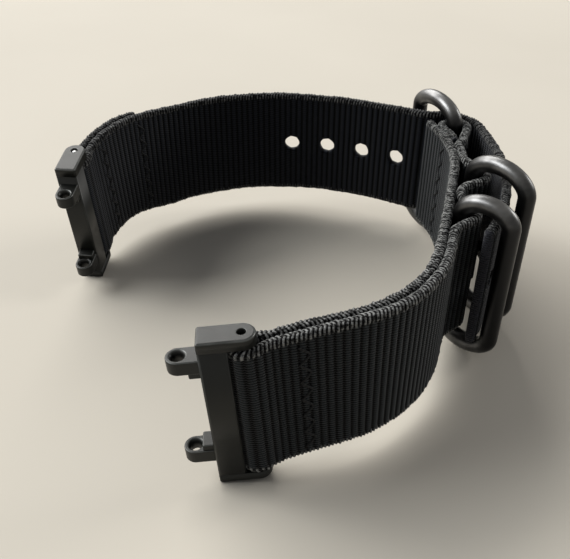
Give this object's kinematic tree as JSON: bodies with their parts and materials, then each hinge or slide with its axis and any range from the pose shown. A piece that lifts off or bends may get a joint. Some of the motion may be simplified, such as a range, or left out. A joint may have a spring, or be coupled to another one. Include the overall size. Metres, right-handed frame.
{
  "type": "webbing watch strap",
  "caption": "Ribbed black webbing watch strap, buckled in a loop, with oval metal rings and hinged metal end pieces for the watch case.",
  "frame": {"origin": "middle of the bounding box in plan, at its lowest level; the strap stands on its long edge", "axes": "+Z along the width of the webbing, +X towards the buckle, +Y towards the punched piece"},
  "size_m": [0.0874, 0.09, 0.034],
  "materials": {
    "webbing": "ribbed black nylon",
    "thread": "black sewing thread",
    "ring_metal": "black coated, satin",
    "anodised_metal": "matte black, light at the worn edges",
    "spring_steel": "bright"
  },
  "bodies": {
    "strap": {"long_strap_webbing": "webbing", "short_strap_webbing": "webbing", "buckle_row_top_thread": "thread", "buckle_row_under_thread": "thread", "flap_fold_row_top_thread": "thread", "flap_fold_row_under_thread": "thread", "keeper_row_top_thread": "thread", "keeper_row_under_thread": "thread", "long_end_far_row_top_thread": "thread", "long_end_far_row_under_thread": "thread", "long_end_near_row_top_thread": "thread", "long_end_near_row_under_thread": "thread", "short_end_row_top_thread": "thread", "short_end_row_under_thread": "thread"},
    "buckle_ring": {"buckle_ring": "ring_metal"},
    "buckle_tongue": {"buckle_tongue": "ring_metal"},
    "keeper_ring": {"keeper_ring": "ring_metal"},
    "flap_ring": {"flap_ring": "ring_metal"},
    "end_piece_a": {"adapter_a": "anodised_metal", "spring_bar_a_tube": "spring_steel", "spring_bar_a_spring": "spring_steel"},
    "spring_bar_a_upper_tip": {"spring_bar_a_upper_tip": "spring_steel"},
    "spring_bar_a_lower_tip": {"spring_bar_a_lower_tip": "spring_steel"},
    "end_piece_b": {"adapter_b": "anodised_metal", "spring_bar_b_tube": "spring_steel", "spring_bar_b_spring": "spring_steel"},
    "spring_bar_b_upper_tip": {"spring_bar_b_upper_tip": "spring_steel"},
    "spring_bar_b_lower_tip": {"spring_bar_b_lower_tip": "spring_steel"}
  },
  "joints": [
    {"name": "end_piece_a_turn", "type": "hinge", "parent": "strap", "child": "end_piece_a", "pos_m": [-0.04086, 0.01335, 0.0171], "axis": [-0.0164, -0.1556, 0.9877], "range_deg": [-62, 57]},
    {"name": "spring_bar_a_upper_tip_press", "type": "slide", "parent": "end_piece_a", "child": "spring_bar_a_upper_tip", "axis": [0.0164, 0.1556, -0.9877], "range_m": [0, 0.0014], "stiffness_N_per_m": 400, "springref_m": -0.002, "deforming": ["spring_bar_a_spring"]},
    {"name": "spring_bar_a_lower_tip_press", "type": "slide", "parent": "end_piece_a", "child": "spring_bar_a_lower_tip", "axis": [-0.0164, -0.1556, 0.9877], "range_m": [0, 0.0014], "stiffness_N_per_m": 400, "springref_m": -0.002},
    {"name": "end_piece_b_turn", "type": "hinge", "parent": "strap", "child": "end_piece_b", "pos_m": [-0.00546, -0.04255, 0.0171], "axis": [-0.0731, -0.0045, 0.9973], "range_deg": [-46, 74]},
    {"name": "spring_bar_b_upper_tip_press", "type": "slide", "parent": "end_piece_b", "child": "spring_bar_b_upper_tip", "axis": [0.0731, 0.0045, -0.9973], "range_m": [0, 0.0014], "stiffness_N_per_m": 400, "springref_m": -0.002, "deforming": ["spring_bar_b_spring"]},
    {"name": "spring_bar_b_lower_tip_press", "type": "slide", "parent": "end_piece_b", "child": "spring_bar_b_lower_tip", "axis": [-0.0731, -0.0045, 0.9973], "range_m": [0, 0.0014], "stiffness_N_per_m": 400, "springref_m": -0.002},
    {"name": "buckle_ring_swing", "type": "hinge", "parent": "strap", "child": "buckle_ring", "pos_m": [0.03467, 0.00601, 0.0171], "axis": [0, 0, 1], "range_deg": [0, 75]},
    {"name": "tongue_swing", "type": "hinge", "parent": "strap", "child": "buckle_tongue", "pos_m": [0.03467, 0.00601, 0.0171], "axis": [0, 0, 1], "range_deg": [-1, 1]},
    {"name": "keeper_ring_swing", "type": "hinge", "parent": "strap", "child": "keeper_ring", "pos_m": [0.02998, -0.00796, 0.0171], "axis": [0, 0, 1], "range_deg": [-8, 36]},
    {"name": "flap_ring_swing", "type": "hinge", "parent": "strap", "child": "flap_ring", "pos_m": [0.03508, 0.02772, 0.0171], "axis": [0, 0, 1], "range_deg": [-75, 10]}
  ]
}
